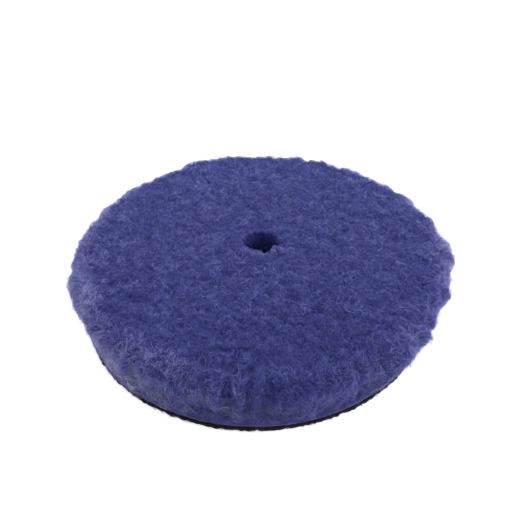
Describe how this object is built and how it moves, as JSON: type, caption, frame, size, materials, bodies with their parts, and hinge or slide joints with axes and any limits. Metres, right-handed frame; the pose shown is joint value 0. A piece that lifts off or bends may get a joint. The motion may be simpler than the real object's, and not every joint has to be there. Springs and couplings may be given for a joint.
{
  "type": "polishing pad",
  "caption": "Round wool-blend polishing pad with a dense fuzzy pile on its face and side wall, a small centre hole and a thin black hook-and-loop backing.",
  "frame": {"origin": "centre of the loop backing's lower face, on the pad's axis", "axes": "+Z along the pad's axis, from the backing towards the working face"},
  "size_m": [0.133, 0.133, 0.025],
  "materials": {
    "loop_nap": "matte brushed nylon loops",
    "loop_cloth": "matte warp-knitted cloth",
    "adhesive_film": "satin hot-melt film",
    "latex": "matte",
    "ground_cloth": "matte knitted cloth",
    "root_foam": "matte open-cell foam",
    "wool_pile": "matte fuzzy cut pile with a soft sheen"
  },
  "bodies": {
    "root": {"loop_nap": "loop_nap", "loop_cloth": "loop_cloth", "adhesive_film": "adhesive_film", "latex_back_coat": "latex", "knit_ground_cloth": "ground_cloth", "root_foam": "root_foam", "wool_pile": "wool_pile"}
  },
  "joints": []
}
